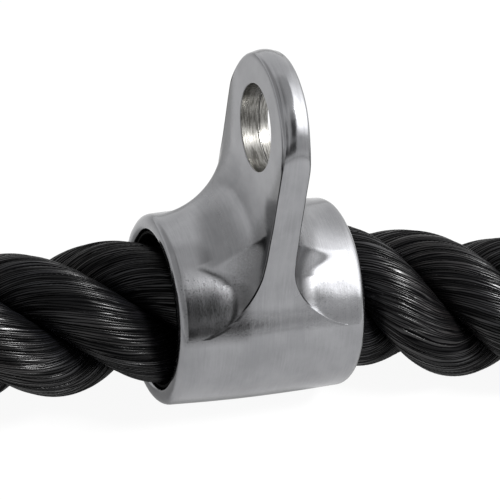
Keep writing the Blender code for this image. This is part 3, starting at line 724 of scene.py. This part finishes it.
def build_band(side, sign, along):
    """The heat-shrunk band: a thin skin drawn tight over the three strands.

    Its section is (along X in mm, share of the wall's thickness from the wall's middle)."""
    span = BAND_LENGTH / MM
    rings = np.linspace(BAND_RING_MARGIN, span - BAND_RING_MARGIN, BAND_RINGS)
    loop = BAND_LIP + [(x, 0.5) for x in rings] + [(span - x, r) for x, r in reversed(BAND_LIP)]
    loop += [(x, -0.5) for x in reversed(rings)]
    columns, rows = BAND_SIDES, len(loop)
    mesh, uv = sheet_grid(columns, rows)
    column = np.rint(uv[:, 0] * columns).astype(int) % columns
    row = np.rint(uv[:, 1] * rows).astype(int) % rows
    x, skin = np.array(loop)[row].T
    around = column * math.tau / columns
    x = x * MM - END_GAP - BAND_LENGTH
    first = LAY_PHASE if sign > 0 else math.pi - LAY_PHASE
    past_first = around - first - math.tau / LAY_LENGTH * (along + x)
    hollow = BAND_HOLLOW * (0.5 - 0.5 * np.cos(STRANDS * past_first)) ** BAND_HOLLOW_SHARPNESS
    wrinkle = np.sin(x / WRINKLE_LENGTH + np.sin(2 * around)) * np.sin(5 * around)
    radius = BAND_RADIUS + skin * BAND_WALL - hollow + WRINKLE_HEIGHT * wrinkle * (skin > 0)
    place = np.stack([x, radius * np.cos(around), radius * np.sin(around)], axis=1)
    mesh.vertices.foreach_set("co", place.ravel())
    mesh = joined_shell(f"band_{side}", [mesh])
    mesh.transform(end_place(sign))
    mesh.materials.append(FINISHES["shrink_band"])
    band = add_piece(f"shrunk_band_{side}", mesh)
    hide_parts(f"end_band_{side}")
    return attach(band, f"limb_{side}")


# Finishes

class Wire:
    """One output of a node. Sums written with wires add the Math nodes that work them out."""

    def __init__(self, finish, socket):
        self.finish = finish
        self.socket = socket

    def sum(self, operation, *values):
        return self.finish.node("Math", {"operation": operation}, dict(enumerate(values)))

    def __add__(self, other):
        return self.sum("ADD", self, other)

    def __sub__(self, other):
        return self.sum("SUBTRACT", self, other)

    def __rsub__(self, other):
        return self.sum("SUBTRACT", other, self)

    def __mul__(self, other):
        return self.sum("MULTIPLY", self, other)

    __radd__ = __add__
    __rmul__ = __mul__


class Finish:
    """A material, or the world, in the making. Every node is added by its one method."""

    def __init__(self, data):
        self.data = data
        data.use_nodes = True
        data.node_tree.nodes.clear()

    def node(self, kind, settings=None, inputs=None, output=0):
        """Adds a node: first its settings, then the values or wires of its sockets."""
        node = self.data.node_tree.nodes.new(f"ShaderNode{kind}")
        for name, value in (settings or {}).items():
            setattr(node, name, value)
        for key, value in (inputs or {}).items():
            if isinstance(value, Wire):
                self.data.node_tree.links.new(value.socket, node.inputs[key])
            else:
                node.inputs[key].default_value = value
        return Wire(self, node.outputs[output]) if node.outputs else None

    def spot(self, scale=(1, 1, 1), turn=(0, 0, 0)):
        """Object coordinates, stretched and turned for a pattern."""
        place = self.node("TexCoord", output="Object")
        return self.node("Mapping", inputs={"Vector": place, "Scale": scale, "Rotation": turn})

    def noise(self, vector, scale, detail=2.0, roughness=0.5):
        return self.node("TexNoise", inputs={
            "Vector": vector, "Scale": scale, "Detail": detail, "Roughness": roughness})

    def ease(self, value, low, high):
        """0 at low, 1 at high and a smooth change between, also where low is above high."""
        return self.node("MapRange", {"interpolation_type": "SMOOTHSTEP"},
                         {"Value": value, "From Min": low, "From Max": high})

    def axes(self, vector):
        return [self.node("SeparateXYZ", inputs={"Vector": vector}, output=i) for i in range(3)]

    def gap_near(self, value):
        """0 at every whole number and up to 1 halfway between them."""
        return self.size(self.node("Math", {"operation": "SINE"}, {0: value * math.pi}))

    def size(self, value):
        """A number without its sign."""
        return self.node("Math", {"operation": "ABSOLUTE"}, {0: value})

    def mix(self, share, first, second):
        """One colour turning into another."""
        first, second = ((*c, 1.0) if isinstance(c, tuple) else c for c in (first, second))
        return self.node("Mix", {"data_type": "RGBA"}, {0: share, 6: first, 7: second}, output=2)

    def bump(self, height, depth, below=None):
        """A height between 0 and 1 as relief of that depth, on top of the relief below it."""
        inputs = {"Height": height, "Distance": depth}
        if below:
            inputs["Normal"] = below
        return self.node("Bump", inputs=inputs)

    def close(self, sockets):
        """Ends a material with its surface shader."""
        surface = self.node("BsdfPrincipled", inputs=sockets)
        self.node("OutputMaterial", inputs={"Surface": surface})
        return self.data


def new_finish(name):
    return Finish(bpy.data.materials.new(name))


def nickel_plate():
    """Satin-bright plate on a buffed casting: pitted recesses, near-black seam line, worn hole,
    and painted dark reflections in the left recess and by the ridge's corner.
    """
    plate = new_finish("nickel_plate")
    spot = plate.spot()
    x, y, z = plate.axes(spot)
    out = plate.size(x)
    peel = plate.noise(spot, 420.0, 3.0)
    cloud = plate.noise(spot, 90.0, 3.0, 0.6)
    buffing = plate.noise(plate.spot((2600, 130, 130)), 1.0, 3.0, 0.65)
    speckle = plate.noise(spot, 2400.0, 2.0, 0.7)
    broken = plate.noise(spot, 900.0, 3.0, 0.6)
    scratch = plate.noise(plate.spot((2400, 300, 300)), 1.0, 3.0, 0.7)
    recess = (plate.ease(out, *RECESS_INNER) * plate.ease(out, *RECESS_OUTER)
              * plate.ease(z, *RECESS_BOTTOM) * plate.ease(z, *RECESS_TOP))
    sweep = (plate.ease(out, *SWEEP_INNER) * plate.ease(out, *SWEEP_OUTER)
             * plate.ease(z, *SWEEP_BOTTOM) * plate.ease(z, *SWEEP_TOP))
    # Painted reflection: darker lower left recess, standing in for the dark room and rope
    # reflected there
    painted_reflection = recess * plate.ease(z, *PAINTED_REFLECTION_TOP) * plate.ease(x, *PAINTED_REFLECTION_SIDE)
    pit = plate.ease(speckle, 0.56, 0.72) * recess * (0.3 + 0.7 * plate.ease(x, *PITTED_SIDE))
    above_hole = z - (AXIS_HEIGHT + EYE_HOLE_HEIGHT)
    from_hole = plate.node("CombineXYZ", inputs={"Y": y, "Z": above_hole})
    reach = plate.node("VectorMath", {"operation": "LENGTH"}, {0: from_hole}, output=1)
    hole = plate.ease(reach, *HOLE_WALL)
    flash = hole * plate.ease(plate.size(x - FLASH_SHADOW_PLACE), *FLASH_SHADOW_SPAN)
    seam = plate.node("Attribute", {"attribute_name": "seam"}, output=2)
    # Darkens the ridge's seam line to near black, and roughens it
    seam_line_dark = plate.ease(seam + (broken - 0.5) * 0.5, 0.42, 0.8)
    # Painted reflection: darker flank by the ridge's corner, in place of the rope and floor
    # reflected there
    corner_reflection = plate.ease(seam + (speckle - 0.5) * 0.25, 0.0, 0.34)
    metal = plate.mix(plate.ease(cloud + buffing * 0.5, 0.5, 1.0), *PLATE)
    metal = plate.mix(painted_reflection * 0.55, metal, PAINTED_DARK_REFLECTION)
    metal = plate.mix(hole, metal, plate.mix(plate.ease(scratch, 0.4, 0.62), *SCRATCHED_PLATE))
    metal = plate.mix(pit * 0.75, metal, PIT)
    metal = plate.mix(corner_reflection * 0.75, metal, PAINTED_CORNER_REFLECTION)
    metal = plate.mix(flash, metal, FLASH_SHADOW)
    relief = plate.bump(buffing, 0.006 * MM)
    relief = plate.bump(peel, 0.03 * MM, relief)
    relief = plate.bump(speckle * recess, RECESS_GRAIN, relief)
    return plate.close({
        "Base Color": plate.mix(seam_line_dark, metal, SEAM_LINE_DARK),
        "Metallic": 1.0,
        "Roughness": 0.11 + cloud * 0.09 + seam_line_dark * 0.3 + hole * 0.12 + sweep * 0.13,
        "Normal": relief,
    })


def black_rope():
    """Black filament yarns: round fibres that catch the light on their tops, and painted shade, a
    flat black that reflects nothing, in their gaps and in patches.
    """
    rope = new_finish("black_rope")
    uv = rope.node("UVMap", {"uv_map": "fibre"})
    u, v, _ = rope.axes(uv)
    gap = rope.ease(rope.gap_near(v), 0.22, 0.02)
    drift = rope.noise(rope.node("CombineXYZ", inputs={"X": u * 0.5, "Y": v * 1.3}), 1.0, 2.0)
    fibre = rope.gap_near(v * FIBRES + drift * 4.0)
    lean = rope.noise(rope.node("CombineXYZ", inputs={"X": u * 1.3, "Y": v * FIBRES}), 1.0, 1.0)
    shade = rope.noise(rope.node("CombineXYZ", inputs={"X": u * 0.6, "Y": v * 2.6}), 1.0, 2.0)
    relief = rope.bump(lean, LEAN_RELIEF)
    relief = rope.bump(fibre, FIBRE_RELIEF, relief)
    relief = rope.bump(1 - gap, GAP_RELIEF, relief)
    cloud = rope.noise(rope.spot(), 60.0)
    tint = rope.mix(rope.ease(cloud, 0.35, 0.65), (0.006, 0.0048, 0.0048),
                    (0.0045, 0.0048, 0.0065))
    top = rope.node("BsdfPrincipled", inputs={
        "Base Color": rope.mix(rope.ease(shade, 0.3, 0.7), (0.003, 0.003, 0.0033), tint),
        "Roughness": 0.22 + shade * 0.12,
        "Specular IOR Level": 0.42,
        "Normal": relief,
    })
    # Painted shade: a flat black that reflects nothing, laid in the gaps between fibres and yarns
    # and in random patches, where real fibres would shade each other.
    painted_shade = rope.node("BsdfDiffuse", inputs={"Color": (0.002, 0.002, 0.0022, 1), "Normal": relief})
    lit_patches = 0.2 + rope.ease(shade, 0.36, 0.62) * 0.8
    lit = rope.ease(fibre, 0.3, 0.85) * (1 - gap * 0.85) * lit_patches
    both = rope.node("MixShader", inputs={0: lit, 1: painted_shade, 2: top})
    rope.node("OutputMaterial", inputs={"Surface": both})
    return rope.data


def cut_rope():
    """The rope's end inside the stopper: the same yarns, pressed flat, along X."""
    rope = new_finish("cut_rope")
    fibre = rope.noise(rope.spot((90, 1400, 1400)), 1.0, 3.0)
    return rope.close({
        "Base Color": rope.mix(fibre, (0.006, 0.006, 0.007), (0.026, 0.026, 0.028)),
        "Roughness": 0.42 + fibre * 0.2,
        "Normal": rope.bump(fibre, 0.12 * MM),
    })


def moulded(name, dark, light, rough, grain, depth, gloss):
    """A moulded or drawn black part: fine grain, and a slow change of shade and gloss."""
    part = new_finish(name)
    spot = part.spot()
    fine = part.noise(spot, grain, 2.0, 0.6)
    cloud = part.noise(spot, 70.0, 3.0)
    return part.close({
        "Base Color": part.mix(part.ease(cloud, 0.3, 0.7), (dark,) * 3, (light,) * 3),
        "Roughness": rough + cloud * 0.16 + fine * 0.06,
        "Specular IOR Level": gloss,
        "Normal": part.bump(fine, depth),
    })


def zinc_steel():
    """Bright zinc over turned steel, with a faint blue and straw cast."""
    zinc = new_finish("zinc_steel")
    cloud = zinc.noise(zinc.spot(), 160.0, 3.0)
    lines = zinc.noise(zinc.spot((3000, 300, 300)), 1.0, 2.0)
    return zinc.close({
        "Base Color": zinc.mix(zinc.ease(cloud, 0.3, 0.7), (0.56, 0.59, 0.64), (0.66, 0.65, 0.6)),
        "Metallic": 1.0,
        "Roughness": 0.26 + cloud * 0.16 + lines * 0.06,
        "Normal": zinc.bump(lines, 0.01 * MM),
    })


def studio_floor():
    """Pale floor: white to the eye with a trace of shadow, and pale grey in reflections."""
    floor = new_finish("studio_floor")
    camera = floor.node("LightPath", output="Is Camera Ray")
    mirrored = (floor.node("LightPath", output="Is Glossy Ray")
                + floor.node("LightPath", output="Is Transmission Ray"))
    seen = FLOOR_WHITE * camera + FLOOR_MIRRORED * mirrored
    grain = floor.noise(floor.spot(), 25.0)
    paper = floor.node("BsdfDiffuse", inputs={
        "Color": floor.mix(grain, (0.8, 0.8, 0.8), (0.84, 0.84, 0.84))})
    level = FLOOR_MIRRORED_LEVEL + (1 - FLOOR_MIRRORED_LEVEL) * camera
    white = floor.node("Emission", inputs={"Color": (1, 1, 1, 1), "Strength": level})
    both = floor.node("MixShader", inputs={0: seen, 1: paper, 2: white})
    floor.node("OutputMaterial", inputs={"Surface": both})
    return floor.data


def white_world():
    """Surround that is white to the eye. Reflections show a softbox, walls and a dark room."""
    world = bpy.data.worlds.new("studio")
    sky = Finish(world)
    x, y, z = sky.axes(sky.node("TexCoord", output="Generated"))
    turn = sky.node("Math", {"operation": "ARCTAN2"}, {0: y, 1: x})
    front = sky.ease(y, 0.1, -0.1)
    above_floor = sky.ease(z, *ROOM_LOW)
    softbox = (sky.ease(x, *SOFTBOX_LEFT) * sky.ease(turn, *SOFTBOX_RIGHT)
               * sky.ease(z + SOFTBOX_LOW_TILT * (x - 0.41), *SOFTBOX_LOW)
               * sky.ease(z, *SOFTBOX_HIGH))
    strip = sky.ease(z, *ROOM_STRIP_LOW) * sky.ease(z, *ROOM_STRIP_HIGH)
    room = (ROOM_SHADE * sky.ease(z, *ROOM_HIGH) + ROOM_CORE * sky.ease(z, *ROOM_CORE_HIGH)
            - ROOM_STRIP * strip)
    room = room * front * above_floor * sky.ease(x, *ROOM_LEFT) * sky.ease(x, *ROOM_RIGHT)
    wall = FRONT_WALL * front * above_floor * sky.ease(z, *FRONT_WALL_HIGH)
    wall = wall * (1 - sky.ease(x, *ROOM_RIGHT))
    left = LEFT_WALL * sky.ease(x, *LEFT_WALL_SPAN) * sky.ease(z, *LEFT_WALL_LOW) * (1 - room)
    dark = room + wall + left + CEILING * sky.ease(z, *CEILING_LOW) * (1 - room)
    camera = sky.node("LightPath", output="Is Camera Ray")
    reflected = (sky.node("LightPath", output="Is Glossy Ray")
                 + sky.node("LightPath", output="Is Transmission Ray"))
    lit = AMBIENT + reflected * (1 - AMBIENT - dark) + softbox * SOFTBOX_LEVEL
    strength = camera + (1 - camera) * lit
    background = sky.node("Background", inputs={"Color": (1, 1, 1, 1), "Strength": strength})
    sky.node("OutputWorld", inputs={"Surface": background})
    return world


def add_lamp(name, turn, height, distance, size, power):
    """A square lamp that faces the barrel, from an angle round and above it."""
    data = bpy.data.lights.new(name, "AREA")
    data.shape = "SQUARE"
    data.size = size
    data.energy = power
    lamp = bpy.data.objects.new(name, data)
    turn, height = math.radians(turn), math.radians(height)
    outward = Vector((math.cos(turn) * math.cos(height), math.sin(turn) * math.cos(height),
                      math.sin(height)))
    placed = outward.to_track_quat("Z", "Y").to_matrix().to_4x4()
    placed.translation = Vector((0.0, 0.0, AXIS_HEIGHT)) + outward * distance
    lamp.matrix_world = placed
    bpy.context.collection.objects.link(lamp)


def dress_stage():
    """Floor, lamp and surround."""
    bm = bmesh.new()
    bmesh.ops.create_grid(bm, x_segments=2, y_segments=2, size=FLOOR_HALF_SIZE)
    bmesh.ops.translate(bm, verts=bm.verts, vec=(0, 0, -FLOOR_DROP))
    mesh = bpy.data.meshes.new("studio_floor")
    bm.to_mesh(mesh)
    bm.free()
    mesh.materials.append(studio_floor())
    floor = bpy.data.objects.new("studio_floor", mesh)
    bpy.context.collection.objects.link(floor)
    for lamp in LAMPS:
        add_lamp(*lamp)
    bpy.context.scene.world = white_world()
    bpy.context.scene.view_settings.view_transform = "Standard"


def dress_hardware():
    """Gives the CAD nodes that stay their finishes."""
    finishes = {"bore_sleeve": "black_nylon", "rope_tail": "cut_rope", "end_washer": "zinc_steel",
                "end_screw": "zinc_steel", "end_plug": "plug_plastic"}
    for name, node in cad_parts.items():
        for start, finish in finishes.items():
            if name.startswith(start):
                node.data.materials.clear()
                node.data.materials.append(FINISHES[finish])


FINISHES = {
    "nickel_plate": nickel_plate(),
    "black_rope": black_rope(),
    "cut_rope": cut_rope(),
    "zinc_steel": zinc_steel(),
}
for name, looks in MOULDED_PARTS.items():
    FINISHES[name] = moulded(name, *looks)
place_camera()
build_casting()
for side, route, sign in (("right", RIGHT_ROUTE, 1), ("left", LEFT_ROUTE, -1)):
    rope = build_rope(side, route, sign)
    if side == "right":
        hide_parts("rope_core")
dress_hardware()
dress_stage()
